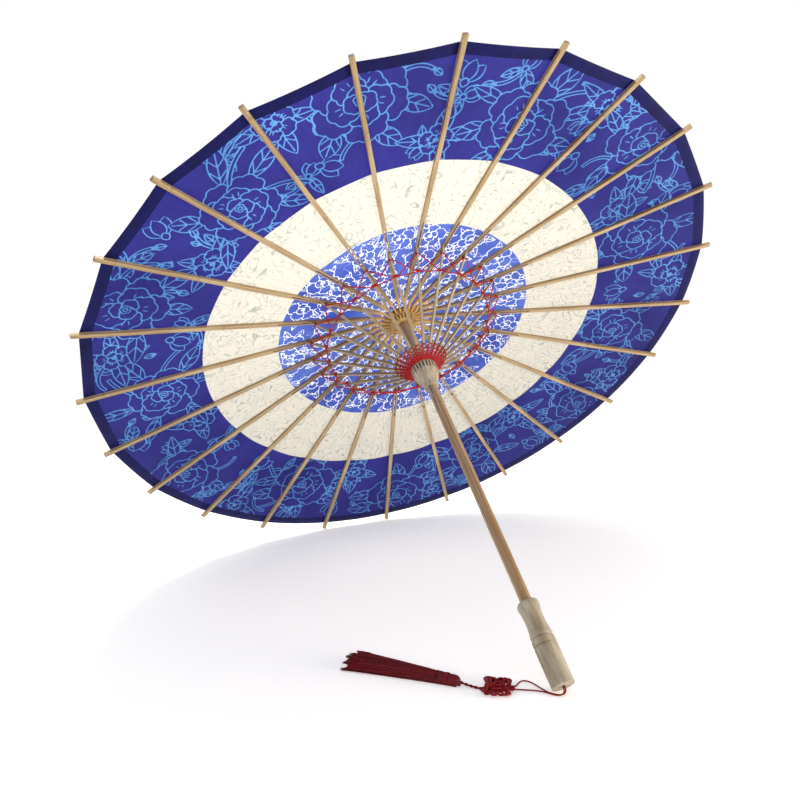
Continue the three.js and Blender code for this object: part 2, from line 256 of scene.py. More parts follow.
def skin(grid, closed=False, capped=True):
    """Points and faces of a tube's rings: squares from ring to ring, and a fan over each open end."""
    rows, columns = grid.shape[:2]
    r = np.arange(rows if closed else rows - 1)[:, None]
    c = np.arange(columns)[None]
    beyond = (r + 1) % rows * columns
    turned_on = (c + 1) % columns
    squares = np.stack([r * columns + c, r * columns + turned_on, beyond + turned_on, beyond + c], axis=-1)
    points = grid.reshape(-1, 3)
    if closed or not capped:
        return points, squares.reshape(-1, 4), np.zeros((0, 3), int)
    first, last = np.arange(columns), (rows - 1) * columns + np.arange(columns)
    middles = np.stack([grid[0].mean(0), grid[-1].mean(0)])
    fan = np.concatenate([
        np.stack([np.roll(first, -1), first, np.full(columns, len(points))], axis=1),
        np.stack([last, np.roll(last, -1), np.full(columns, len(points) + 1)], axis=1),
    ])
    return np.concatenate([points, middles]), squares.reshape(-1, 4), fan


def piece(name, skins, material, body, sharp=None, closed=True):
    """Joins skins into one smooth mesh at the origin, and has it ride on a body. A closed one gets its
    doubles merged and its faces turned outwards. Edges that turn by more than sharp degrees stay sharp."""
    offsets = np.cumsum([0] + [len(s[0]) for s in skins])
    points = np.concatenate([s[0] for s in skins])
    squares = np.concatenate([s[1] + o for s, o in zip(skins, offsets)])
    fans = np.concatenate([s[2] + o for s, o in zip(skins, offsets)])
    mesh = bpy.data.meshes.new(name)
    mesh.vertices.add(len(points))
    mesh.vertices.foreach_set("co", points.astype(np.float32).ravel())
    corners = np.concatenate([squares.ravel(), fans.ravel()])
    mesh.loops.add(len(corners))
    mesh.loops.foreach_set("vertex_index", corners.astype(np.int32))
    starts = np.concatenate([np.arange(len(squares)) * 4, squares.size + np.arange(len(fans)) * 3])
    mesh.polygons.add(len(starts))
    mesh.polygons.foreach_set("loop_start", starts.astype(np.int32))
    mesh.update(calc_edges=True)
    if closed:
        work = bmesh.new()
        work.from_mesh(mesh)
        bmesh.ops.remove_doubles(work, verts=work.verts, dist=1e-6)
        bmesh.ops.dissolve_degenerate(work, edges=work.edges, dist=1e-7)
        bmesh.ops.recalc_face_normals(work, faces=work.faces)
        work.to_mesh(mesh)
        work.free()
    mesh.polygons.foreach_set("use_smooth", np.ones(len(mesh.polygons), bool))
    if sharp:
        mesh.set_sharp_from_angle(angle=math.radians(sharp))
    mesh.materials.append(material)
    made = bpy.data.objects.new(name, mesh)
    bpy.context.scene.collection.objects.link(made)
    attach(made, body)
    return made


# Dyed cotton cord is matt, deep red in its grooves and lighter on its plies, with a little fuzz.
red_cord, tree, shader = material_of("dyed_cotton_cord", Roughness=0.6, IOR=1.5, Specular_IOR_Level=0.3)
spot = add(tree, "TexCoord")
fuzz = add(tree, "TexNoise", {"Vector": spot.outputs["Object"], "Scale": 1800.0, "Detail": 3.0})
shade = add(tree, "ValToRGB", {"Fac": fuzz}, [(0.3, "4c050b"), (0.7, "b3121c")])
finish(tree, shader, shade, fuzz, 0.5, 0.0002)


def twisted_cord(path, radius, sides=12):
    """A three-ply cord: its lobes turn once in PLY_PITCH along the path."""
    along = np.concatenate([[0], np.cumsum(np.linalg.norm(np.diff(path, axis=0), axis=1))])
    return tube(path, round_section(radius, sides, 3, 0.22, 2 * np.pi * along / PLY_PITCH))


def on_floor(points):
    """Points in mm from the foot of the handle, as points of the row frame in metres."""
    return np.asarray(points, float) / 1000 + [0, FOOT, 0]


for strand_name, run, side in (("rear", REAR_STRAND, 1), ("front", FRONT_STRAND, -1)):
    route = [[x + side * SIDE_BY_SIDE, y, z] for x, y, z in OUT_OF_HANDLE] + run
    path = curve_through(route, 0.45)
    grid = on_floor(twisted_cord(path, CORD_RADIUS))
    cord = piece(f"tassel_cord_{strand_name}", [skin(grid)], red_cord, "root")
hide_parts("tassel_loop")

# ---- Stopper knot ----
# The two strands are tied in a thumb knot inside the handle.
# It is too big for the hole in the handle's end, so that it holds the tassel on.
STOPPER_SIZE = 2.6
turn = np.linspace(0, 2 * np.pi, 90, endpoint=False)
loops = np.stack([
    np.sin(turn) + 0.55 * np.sin(2 * turn),
    np.cos(turn) - 0.55 * np.cos(2 * turn),
    -0.5 * np.sin(3 * turn),
], axis=1)
stopper_path = STOPPER_SIZE * loops * 0.8 + STOPPER
stopper = tube(stopper_path, round_section(CORD_RADIUS * 1.2, 8), closed=True)
piece("stopper_knot", [skin(on_floor(stopper), closed=True)], red_cord, "root")

# ---- Decorative knot ----
# Flat braided knot of the same red cord: one line woven over and under itself, with two open loops.
# It is tied by hand and lies flat on the floor.
KNOT_PLACE = (-53.2, 28)
KNOT_TURN = math.radians(150)
KNOT_CORD = 1.2
KNOT_MIDDLE = 4.2  # its mid height over the floor
TASSEL_PLACE = (-70.2, 35)
TASSEL_TURN = math.radians(131.6)


def turned_flat(points, place_at, angle):
    """Points turned about Z by an angle and moved to a place on the floor, in mm."""
    x, y, z = np.moveaxis(points, -1, 0)
    c, s = math.cos(angle), math.sin(angle)
    return np.stack([x * c - y * s + place_at[0], x * s + y * c + place_at[1], z], axis=-1)


def weave(across, along, sweep, rise, middle, count=520):
    """Closed woven line: x = across sin(3t + sweep), y = along sin(4t), and it rises by sin(7t + sweep)
    over its middle height where it crosses itself."""
    t = np.linspace(0, 2 * np.pi, count, endpoint=False)
    x = across * np.sin(3 * t + sweep)
    y = along * np.sin(4 * t)
    z = middle + rise * np.sin(7 * t + sweep)
    return np.stack([x, y, z], axis=1)


def ear(base, tip_at, width):
    """An open loop: from its base out to its tip and back, as wide as a teardrop's sin(t) sin(t / 2)."""
    t = np.linspace(0, 2 * np.pi, 70, endpoint=False)
    base, tip_at = np.array(base, float), np.array(tip_at, float)
    out = np.array([*(tip_at - base), 0.0])
    sideways = unit(np.array([-out[1], out[0], 0.0]))
    start = np.array([*base, KNOT_MIDDLE])
    bulge = width * np.sin(t) * np.sin(t / 2)
    lift = 0.8 * np.cos(t)[:, None] * [0, 0, 1]
    return start + (1 - np.cos(t[:, None])) / 2 * out + bulge[:, None] * sideways + lift


knot_parts = []
for line in (
    weave(12.6, 13.4, 0.8, 1.4, 2.7),
    weave(10.4, 11.0, 2.1, 1.7, 4.9),
    weave(6.8, 7.4, 0.2, 1.3, 6.9),
    ear((3, -7), (12.6, -16.6), 4.8),
    ear((-4, -6), (-12.5, -13.6), 4.2),
    ear((-9, 2), (-16.2, 5), 3.4),
    ear((8, 5), (15.2, 9.8), 3.6),
    ear((1, 8), (4, 17.3), 4.6),
    ear((-5, 8), (-9.6, 16.2), 4.0),
):
    rings = tube(line, round_section(KNOT_CORD, 10), closed=True)
    knot_parts.append(skin(on_floor(turned_flat(rings, KNOT_PLACE, KNOT_TURN)), closed=True))
# Both strands, and the tassel's own cord, run in among its turns.
knot_heart = [*KNOT_PLACE, KNOT_MIDDLE]
for outer_end in (REAR_STRAND[-1], FRONT_STRAND[-1], [*TASSEL_PLACE, 2.2]):
    halfway = (np.array(outer_end) * 0.62 + np.array(knot_heart) * 0.38) + [0, 0, -0.4]
    way_in = curve_through([outer_end, halfway, knot_heart], 0.6)
    knot_parts.append(skin(on_floor(twisted_cord(way_in, CORD_RADIUS))))
knot = piece("decorative_knot", knot_parts, red_cord, "root")
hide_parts("tassel_knot")

# ---- Tassel ----
# A bundle of red silk floss, folded over a short double cord and bound below its round head.
# It has been pressed flat where it lies, and its cut ends fan out.
TASSEL_LENGTH = 150
NECK_END = 21.5
FLOSS = 0.32  # radius of one drawn strand, coarser than silk so that it shows
FLOSS_COUNT = 1050
LOCKS = 16  # on the outside, and as many inside
rng = np.random.default_rng(24)

# Silk floss has a soft lustre along its strands: deep crimson, each strand a shade of its own.
red_silk, tree, shader = material_of("silk_floss", Roughness=0.42, IOR=1.5, Specular_IOR_Level=0.3)
spot = add(tree, "TexCoord")
cloud = add(tree, "TexNoise", {"Vector": spot.outputs["Object"], "Scale": 60.0, "Detail": 3.0})
strand = add(tree, "NewGeometry").outputs["Random Per Island"]
blend = add(tree, "Mix", {"Factor": 0.6, "A": cloud, "B": strand})
shade = add(tree, "ValToRGB", {"Fac": blend}, [(0.15, "3c030a"), (0.8, "93101b")])
finish(tree, shader, shade)


def bundle_half_width(x):
    """Straight lines between half widths, x mm from the knot: a round head, a slight waist and a fan."""
    at = [20, 21, 23, 27, 33, 40, 60, 100, 150]
    return np.interp(x, at, [1.4, 3.9, 5.3, 5.7, 5.5, 6.3, 8.2, 12.6, 19.4])


def bundle_height(x):
    """Straight lines between heights over the floor, x mm from the knot."""
    at = [20, 21, 23, 27, 33, 60, 100, 150]
    return np.interp(x, at, [2.6, 7.2, 9.8, 10.6, 10.5, 12.4, 13.2, 11.2])


def floss():
    """Strands from the head to the cut ends. Strand i lies at an angle of its own, from 0 to half a turn, and
    at its own share of the way out through the bundle's half-round section. Strands of one lock end together
    and drift sideways together, and each wavers by a slow sine of its own."""
    n, stations = FLOSS_COUNT, 18
    turn = rng.uniform(0, np.pi, n)[:, None]
    out = np.sqrt(rng.uniform(0.4, 1, n))[:, None]
    lock = np.minimum((turn / np.pi * LOCKS).astype(int) + (out > 0.86) * LOCKS, 2 * LOCKS - 1)
    lock_end = rng.uniform(0, 11, 2 * LOCKS)[lock]
    lock_drift = rng.normal(0, 1.5, 2 * LOCKS)[lock]
    ends = TASSEL_LENGTH - lock_end - 12 * rng.random(n)[:, None] ** 1.6
    x = 23 + (ends - 23) * np.linspace(0, 1, stations)[None]
    loose = np.clip((x - 40) / 110, 0, 1)
    waver = 0.55 * np.sin(x / rng.uniform(9, 22, n)[:, None] + rng.uniform(0, 6.3, n)[:, None])
    stray = (rng.random(n) < 0.06)[:, None] * rng.normal(0, 3.0, n)[:, None]
    drift = (lock_drift + stray) * loose**3
    y = out * np.cos(turn) * bundle_half_width(x) + waver * loose + drift
    z = FLOSS + 0.3 + out * np.sin(turn) * (bundle_height(x) - 1) + 0.2 * np.abs(drift)
    return np.stack([x, y, z], axis=-1)


def head(grooves=44):
    """The folded head: a ring of the bundle's half width and height at each station, with fine grooves
    along it of 1 + 0.03 cos(grooves angle)."""
    x = np.array([20, 20.5, 21.2, 22.2, 23.6, 26, 28.5, 31, 33, 34.4, 36, 40, 46])
    w = bundle_half_width(x)[:, None] * 0.97
    h = bundle_height(x)[:, None] * 0.5 * 0.98
    angle = np.linspace(0, 2 * np.pi, 176, endpoint=False)[None]
    groove = 1 + 0.03 * np.cos(grooves * angle)
    y = w * np.cos(angle) * groove
    z = h * 1.02 + h * np.sin(angle) * groove
    return np.stack([np.broadcast_to(x[:, None], y.shape), y, np.maximum(z, 0.3)], axis=-1)


def core():
    """What lies under the outer strands: the bundle's own half-round section, a little smaller."""
    x = np.linspace(30, TASSEL_LENGTH - 26, 30)
    angle = np.linspace(0, 2 * np.pi, 40, endpoint=False)[None]
    y = 0.7 * bundle_half_width(x)[:, None] * np.cos(angle)
    z = 0.5 + np.clip(np.sin(angle), -0.02, 1) * 0.72 * bundle_height(x)[:, None]
    return np.stack([np.broadcast_to(x[:, None], y.shape), y, z + 0.1], axis=-1)


tassel_parts = [skin(head()), skin(core())]
for line in floss():
    tassel_parts.append(skin(tube(line, round_section(FLOSS, 4))))
BOUND_AT = 34  # where the thread is wound round it, four times
turns = np.linspace(0, 2 * np.pi * 4, 150)
binding = np.stack([
    BOUND_AT - 0.8 + turns * 0.13,
    (bundle_half_width(BOUND_AT) + 0.25) * np.cos(turns),
    bundle_height(BOUND_AT) * 0.5 * (1 + np.sin(turns)) + 0.5,
], axis=1)
tassel_parts.append(skin(tube(binding, round_section(0.38, 6), up=(1, 0, 0))))
for phase in (0, np.pi):
    x = np.linspace(-3.0, NECK_END, 60)
    twist = x * 0.62 + phase
    climb = 2.6 * np.clip(x / NECK_END, 0, 1) ** 2  # up to the middle of the head
    neck = np.stack([x, 0.78 * np.cos(twist), 1.9 + climb + 0.78 * np.sin(twist)], axis=1)
    tassel_parts.append(skin(tube(neck, round_section(CORD_RADIUS, 8))))
tassel_parts = [
    (on_floor(turned_flat(points, TASSEL_PLACE, TASSEL_TURN)), squares, fans)
    for points, squares, fans in tassel_parts
]
tassel = piece("silk_tassel", tassel_parts, red_silk, "root")
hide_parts("tassel")

# ---- Shaft ----
# Round lacquered wood stick, turned and straight, from the handle to the finial.
# A narrow cut is sawn into it below the runner, for the catch.
SHAFT_RADIUS = 6.5
SHAFT_BOTTOM = 42
SHAFT_TOP = 536
CUT_LOW = 355
CUT_HIGH = 395.5
CUT_WIDTH = 2.4
CUT_FLOOR = -3.5  # past the axis, so that the pressed catch has room
CATCH_ANGLE = math.radians(215)


def place(x, y, z):
    """A point x across, y to the side and z up the umbrella's own axis, in mm, in the row frame in metres."""
    x, y, z = (np.asarray(part, float)[..., None] for part in np.broadcast_arrays(x, y, z))
    return HANDLE_END + (x * ACROSS + y * SIDE + z * AXIS) / 1000


def lathe(profile, sides=96, slots=0, width=0.0, floor_at=None, first=0.0):
    """Skin of a turned piece. Its profile of [radius, height] pairs closes on itself or on the axis.
    With slots, a sector's columns run over a slot and the land beside it. The slot's walls stand parallel,
    width apart, and its flat floor lies floor_at(height) from the axis, or past it if that is below 0."""
    radius, height = np.array(profile, float).T
    if not slots:
        angle = np.arange(sides) * 2 * np.pi / sides
        r = np.repeat(radius[:, None], sides, axis=1)
    else:
        sector = 2 * np.pi / slots
        across = np.clip(np.linspace(-1, 1, 3)[None] * width / 2, -radius[:, None], radius[:, None])
        out = np.minimum(np.sqrt(radius[:, None] ** 2 - across**2), floor_at(height)[:, None])
        edge = np.arcsin(np.clip(width / 2 / np.maximum(radius, 1e-6), 0, 1))[:, None]
        land = edge + np.linspace(0, 1, max(2, sides // slots))[None] * (sector - 2 * edge)
        one = np.concatenate([np.arctan2(across, out), land], axis=1)
        angle = (one[:, None] + (np.arange(slots) * sector)[None, :, None]).reshape(len(radius), -1) + first
        r = np.concatenate([np.hypot(across, out), np.repeat(radius[:, None], land.shape[1], axis=1)], axis=1)
        r = np.tile(r, (1, slots))
    z = np.repeat(height[:, None], r.shape[1], axis=1)
    return skin(place(r * np.cos(angle), r * np.sin(angle), z), capped=False)


def along_axis(tree, scale):
    """Object coordinates turned so that Z runs up the umbrella's axis, and scaled."""
    spot = add(tree, "TexCoord")
    turned = Matrix((ACROSS, SIDE, AXIS)).to_euler()
    middle = -(Matrix((ACROSS, SIDE, AXIS)) @ Vector(HANDLE_END))
    settled = add(tree, "Mapping", {"Vector": spot.outputs["Object"], "Rotation": turned, "Location": middle})
    return add(tree, "Mapping", {"Vector": settled, "Scale": scale})


def shaded_by(tree, colour, pattern, low, high, dim):
    """A colour times a ramp from a dim tone, where the pattern is low, to white, where it is high."""
    tone = add(tree, "ValToRGB", {"Fac": pattern}, [(low, dim), (high, "ffffff")])
    both = {"Fac": 1.0, "Color1": colour, "Color2": tone}
    return add(tree, "MixRGB", both, blend_type="MULTIPLY")


# Lacquered hardwood: honey brown, with long pores and a soft clear gloss.
lacquered, tree, shader = material_of(
    "lacquered_hardwood", Roughness=0.38, IOR=1.5, Coat_Weight=0.5, Coat_Roughness=0.16)
grain = add(tree, "TexNoise", {"Vector": along_axis(tree, (420, 420, 9)), "Scale": 1.0, "Detail": 5.0})
cloud = add(tree, "TexNoise", {"Vector": along_axis(tree, (60, 60, 8)), "Scale": 1.0, "Detail": 2.0})
shade = add(tree, "ValToRGB", {"Fac": grain}, [(0.28, "8c7050"), (0.75, "d0b48e"), (0.5, "b49670")])
finish(tree, shader, shaded_by(tree, shade, cloud, 0.3, 0.7, "d9c6ad"), grain, 0.25, 0.0002)


def cut_floor(z):
    """The cut's floor between its two ends, and the shaft's own face beyond them."""
    return np.where((z > CUT_LOW - 0.005) & (z < CUT_HIGH + 0.005), CUT_FLOOR, SHAFT_RADIUS)


shaft_levels = np.unique(np.concatenate([
    np.linspace(SHAFT_BOTTOM, SHAFT_TOP, 30), [CUT_LOW - 0.01, CUT_LOW, CUT_HIGH, CUT_HIGH + 0.01]]))
shaft_profile = [[0, SHAFT_BOTTOM], *[[SHAFT_RADIUS, z] for z in shaft_levels], [0, SHAFT_TOP]]
shaft = piece(
    "turned_shaft", [lathe(shaft_profile, 72, 1, CUT_WIDTH, cut_floor, CATCH_ANGLE)],
    lacquered, "root", sharp=35)
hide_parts("shaft")

# ---- Handle ----
# Turned from one stick of pale wood, left raw: a slim waist, two cut rings and a flat end.
# The shaft is glued into it, and a narrower hole in its end lets the tassel cord out.
BORE = 6.8
CORD_HOLE = 2.4
HANDLE_LENGTH = 92


def raw_wood(name, dark, light, across_grain):
    """Raw turned wood: long fibres, faint rings left by the turning tool, and a dry matt face."""
    made, tree, shader = material_of(name, Roughness=0.66, IOR=1.46)
    stretched = along_axis(tree, (across_grain, across_grain, 30))
    fibre = add(tree, "TexNoise", {"Vector": stretched, "Scale": 1.0, "Detail": 6.0})
    cloud = add(tree, "TexNoise", {"Vector": along_axis(tree, (70, 70, 22)), "Scale": 1.0, "Detail": 3.0})
    shade = add(tree, "ValToRGB", {"Fac": fibre}, [(0.3, dark), (0.68, light)])
    upright = along_axis(tree, (1, 1, 1))
    tool = add(tree, "TexWave", {"Vector": upright, "Scale": 300.0, "Distortion": 1.5}, bands_direction="Z")
    height = add(tree, "MixRGB", {"Fac": 0.35, "Color1": fibre, "Color2": tool.outputs["Fac"]})
    colour = shaded_by(tree, shade, cloud, 0.32, 0.66, "d8cdbd")
    finish(tree, shader, colour, height, 0.35, 0.00025)
    return made


pale_wood = raw_wood("raw_turned_wood", "aa9d89", "cfc6b5", 520)
waist = np.linspace(53.2, 86, 26)
waist_radius = np.minimum(11.9, 10.3 + 1.6 * ((waist - 70) / 15.5) ** 2)
handle_profile = [
    [CORD_HOLE, 0],
    [11.6, 0],
    [11.9, 0.3],
    [12.2, 0.6],
    *[[r, z] for r, z in zip(np.linspace(12.2, 12.4, 8), np.linspace(5, 41.4, 8))],
    [12.3, 42.1],
    [11.0, 42.6],
    [10.6, 43.3],
    [11.3, 43.9],
    [12.2, 44.6],
    [12.35, 47.5],
    [12.1, 50.2],
    [11.0, 50.9],
    [10.6, 51.5],
    [11.1, 52.2],
    *[[r, z] for r, z in zip(waist_radius, waist)],
    [11.8, 88],
    [11.4, 89.6],
    [10.6, 91],
    [9.4, HANDLE_LENGTH],
    [BORE, HANDLE_LENGTH],
    [BORE, 20],
    [CORD_HOLE, 20],
    [CORD_HOLE, 0],
]
handle = piece("turned_handle", [lathe(handle_profile, 96)], pale_wood, "root", sharp=40)
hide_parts("handle")

# ---- Top notch ----
# Turned straw-coloured wood disc, glued on the shaft and sawn with a slot for each rib.
# The rib heads turn on a thread that runs round in it.
ARMS = 24
SECTOR = 2 * math.pi / ARMS
NOTCH_LOW = 508.4
NOTCH_HIGH = 520.9
NOTCH_SLOT_FLOOR = 12.6
RIB_SLOT = 2.3
notch_profile = [
    [BORE, NOTCH_LOW],
    [NOTCH_SLOT_FLOOR, NOTCH_LOW],
    [17, NOTCH_LOW],
    [18.1, NOTCH_LOW + 0.6],
    [18.5, NOTCH_LOW + 1.5],
    [18.5, NOTCH_HIGH - 0.6],
    [18.1, NOTCH_HIGH],
    [NOTCH_SLOT_FLOOR, NOTCH_HIGH],
    [BORE, NOTCH_HIGH],
    [BORE, NOTCH_LOW],
]


def notch_slot_floor(z):
    """The same distance from the axis at every height."""
    return np.full(z.shape, NOTCH_SLOT_FLOOR)


notch = piece(
    "slotted_notch", [lathe(notch_profile, 240, ARMS, RIB_SLOT, notch_slot_floor, SECTOR / 2)],
    raw_wood("straw_coloured_wood", "c99f5e", "ecd199", 480), "root", sharp=35)
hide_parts("top_notch")

# ---- Runner ----
# Turned pale wood bell that slides on the shaft.
# Its thick rim is sawn with a slot for each stretcher, and a thread round in it is their hinge.
RUNNER_SLOT = 2.2
RUNNER_PIVOT = 427.6
RUNNER_PIVOT_RADIUS = 13.5
runner_outline = [
    [BORE, -33],
    [9.2, -33],
    [9.45, -32.6],
    [9.5, -29.4],
    [10, -27],
    [11.5, -24],
    [13.4, -20.4],
    [15.1, -16],
    [16.3, -11.6],
    [16.95, -7],
    [17.1, -3.4],
    [16.9, -0.4],
    [16.2, 1.8],
    [15.4, 3],
    [11.2, 3],
    [BORE, 3],
    [BORE, -33],
]
runner_profile = [[r, z + RUNNER_PIVOT] for r, z in runner_outline]


def runner_slot_floor(z):
    """11.2 mm from the axis down to 3 mm below the pivots, then out through the bell's face at 9 mm."""
    return np.interp(z - RUNNER_PIVOT, [-9.4, -3], [17.4, 11.2])


runner = piece(
    "slotted_runner", [lathe(runner_profile, 240, ARMS, RUNNER_SLOT, runner_slot_floor, SECTOR / 2)],
    pale_wood, "runner", sharp=35)
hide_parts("runner")

# ---- Finial ----
# Turned pale wood cap, glued on the shaft's top over the middle of the paper.
# Its brim hides the hole in the paper, and a round knob ends it.


def arm_place(point):
    """Distance from the axis and height along it, in mm, of a point of the row frame."""
    off = (np.array(point) - HANDLE_END) * 1000
    height = float(off @ AXIS)
    return float(np.linalg.norm(off - height * AXIS)), height


hinges = {j["name"]: j for j in frame["joints"]}
NOTCH_PIVOT_RADIUS, NOTCH_PIVOT = arm_place(hinges["rib_01_hinge"]["pos_m"])
JOINT_RADIUS, JOINT_HEIGHT = arm_place(hinges["stretcher_01_hinge"]["pos_m"])
RIB_MIDDLE = 5.0  # height of the hinge over the line through the rib's pivot
joint_out = JOINT_RADIUS - NOTCH_PIVOT_RADIUS
joint_up = JOINT_HEIGHT - NOTCH_PIVOT
PITCH = math.atan2(joint_up, joint_out) - math.asin(RIB_MIDDLE / math.hypot(joint_out, joint_up))
PAPER_UNDER = 7.45  # the paper lies this far outside the line through a rib's pivot
PAPER_HOLE = 7.3
PAPER_RADIUS = 411.0


def cone_height(radius, offset):
    """Height on the axis of a cone that lies offset mm outside the line through a rib's pivot."""
    return NOTCH_PIVOT + (radius - NOTCH_PIVOT_RADIUS) * math.tan(PITCH) + offset / math.cos(PITCH)


def seat(radius):
    """Height on the axis, just over the paper, that the cap's brim rests at."""
    return cone_height(radius, PAPER_UNDER + 0.9)


swell = np.linspace(0, 1, 14)
cap_profile = [
    [0, SHAFT_TOP + 0.3],
    [BORE, SHAFT_TOP + 0.3],
    [BORE, seat(BORE)],
    [19.6, seat(19.6)],
    [20.25, seat(20) + 0.3],
    [20.4, seat(20) + 1.4],
    [19.9, seat(20) + 2.6],
    [18, seat(20) + 4.4],
    [15.2, seat(20) + 6.2],
    [12, seat(20) + 8],
    [9.9, seat(20) + 9.8],
    [8.8, seat(20) + 11.4],
    [8.2, seat(20) + 13.4],
    [8.5, seat(20) + 15],
    *[[8.6 * math.cos(a), seat(20) + 16.2 + 7.9 * math.sin(a)] for a in swell[:-1] * math.pi / 2],
    [0, seat(20) + 24.1],
]
cap = piece("turned_finial", [lathe(cap_profile, 96)], pale_wood, "root", sharp=40)
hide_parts("top_cap")

# ---- Ribs and stretchers ----
# Split bamboo, planed to bars and sanded. The fibres run along each bar, and a joint of the cane shows here
# and there as a darker line. The bars are the frame's own, and get their finish here.


def arm_axes(k):
    """Outward and sideways directions of arm number k, in the row frame."""
    angle = (k + 0.5) * SECTOR
    outward = math.cos(angle) * ACROSS + math.sin(angle) * SIDE
    sideways = -math.sin(angle) * ACROSS + math.cos(angle) * SIDE
    return outward, sideways


def bamboo(name, along, sideways, start, dark, light, knots, straw_to=0.0):
    """Split bamboo in a bar's own directions: fibres 0.35 mm wide and 60 mm long, a cane joint at each knot,
    and straw yellow up to straw_to metres from its start."""
    made, tree, shader = material_of(name, Roughness=0.48, IOR=1.5, Coat_Weight=0.15, Coat_Roughness=0.3)
    axes = Matrix((along, sideways, np.cross(along, sideways)))
    spot = add(tree, "TexCoord")
    settled = {"Rotation": axes.to_euler(), "Location": -(axes @ Vector(start))}
    own = add(tree, "Mapping", {"Vector": spot.outputs["Object"], **settled})
    stretched = add(tree, "Mapping", {"Vector": own, "Scale": (17, 2800, 2800)})
    fibre = add(tree, "TexNoise", {"Vector": stretched, "Scale": 1.0, "Detail": 4.0})
    broad = add(tree, "Mapping", {"Vector": own, "Scale": (12, 240, 240)})
    cloud = add(tree, "TexNoise", {"Vector": broad, "Scale": 1.0, "Detail": 2.0})
    shade = add(tree, "ValToRGB", {"Fac": fibre}, [(0.3, dark), (0.66, light)])
    parts = add(tree, "SeparateXYZ", {"Vector": own})
    colour = shaded_by(tree, shade, cloud, 0.34, 0.62, "cdbb9c")
    for knot_at in knots:
        off = add(tree, "Math", {0: parts.outputs["X"], 1: knot_at}, operation="SUBTRACT")
        far = add(tree, "Math", {0: off}, operation="ABSOLUTE")
        band = {"Value": far, "From Min": 0.0004, "From Max": 0.0022, "To Min": 0.35, "To Max": 0.0}
        dark_band = {"Fac": add(tree, "MapRange", band), "Color1": colour, "Color2": linear("6e5a3c")}
        colour = add(tree, "MixRGB", dark_band)
    if straw_to:
        span = {"From Min": straw_to, "From Max": straw_to * 1.8, "To Min": 0.75, "To Max": 0.0}
        near = add(tree, "MapRange", {"Value": parts.outputs["X"], **span})
        straw = {"Fac": near, "Color1": colour, "Color2": linear("e6b566")}
        colour = add(tree, "MixRGB", straw)
    finish(tree, shader, colour, fibre, 0.3, 0.0002)
    return made


arms = []
for k in range(ARMS):
    number = f"{k + 1:02d}"
    outward, sideways = arm_axes(k)
    rib_along = math.cos(PITCH) * outward + math.sin(PITCH) * AXIS
    hinge = np.array(hinges[f"stretcher_{number}_hinge"]["pos_m"])
    runner_end = HANDLE_END + (RUNNER_PIVOT_RADIUS * outward + RUNNER_PIVOT * AXIS) / 1000
    stretcher_along = unit(hinge - runner_end)
    arms.append((number, outward, sideways, rib_along, stretcher_along, runner_end, hinge))
    rib_knots = np.cumsum(rng.uniform(0.09, 0.17, 3))
    rib_finish = bamboo(
        f"split_bamboo_rib_{number}", rib_along, sideways, np.array(hinges[f"rib_{number}_hinge"]["pos_m"]),
        "85704f", "c6ae86", rib_knots, straw_to=0.02)
    stretcher_finish = bamboo(
        f"split_bamboo_stretcher_{number}", stretcher_along, sideways, runner_end,
        "80705a", "b8a88c", rng.uniform(0.03, 0.12, 1))
    frame["nodes"][f"rib_{number}"].material_slots[0].material = rib_finish
    frame["nodes"][f"stretcher_{number}"].material_slots[0].material = stretcher_finish

# ---- Catch ----
# A strip of spring steel, bent and pinned at its foot, whose hook holds the runner up.
# Cold-rolled and polished: bright, with faint lines along it.
steel, tree, shader = material_of(
    "polished_spring_steel", Base_Color=linear("b9bbbd"), Metallic=1.0, Roughness=0.24)
brushed = add(tree, "TexNoise", {"Vector": along_axis(tree, (2600, 2600, 60)), "Scale": 1.0, "Detail": 2.0})
finish(tree, shader, None, brushed, 0.2, 0.0001)
frame["nodes"]["latch"].material_slots[0].material = steel

# ---- Hinge threads ----
# Undyed cotton thread, waxed. One ring runs through the rib heads in the notch, and one through the
# stretchers' ends in the runner. They are the frame's own, and get their finish here.
waxed, tree, shader = material_of("waxed_cotton_thread", Roughness=0.6, IOR=1.48)
spot = add(tree, "TexCoord")
fuzz = add(tree, "TexNoise", {"Vector": spot.outputs["Object"], "Scale": 1500.0, "Detail": 2.0})
shade = add(tree, "ValToRGB", {"Fac": fuzz}, [(0.3, "b3a486"), (0.7, "e6dcc4")])
finish(tree, shader, shade)
for name in ("notch_cord", "runner_cord"):
    frame["nodes"][name].material_slots[0].material = waxed

# ---- Canopy ----
# One disc of thin mulberry paper, printed, glued over the ribs and then oiled, so that it is tough and lets
# light through. It is creased along each rib and hangs in a little between them. It is drawn in 24 gores that
# meet halfway between the ribs, because each gore rides on its own rib when the umbrella closes.
HANG = 2.4  # how far the paper's edge hangs in, halfway between two ribs
RING_INNER = 172.0
RING_OUTER = 269.0
COLUMNS = 84
# Rows are close where lines are printed, and wide apart in the pale ring.
INNER_ROWS = 110
RING_ROWS = 20
OUTER_ROWS = 130
ROWS = INNER_ROWS + RING_ROWS + OUTER_ROWS
LINE_OUTER = 0.66  # half the width of a drawn line, in mm, in the outer band
LINE_INNER = 0.5  # and in the middle


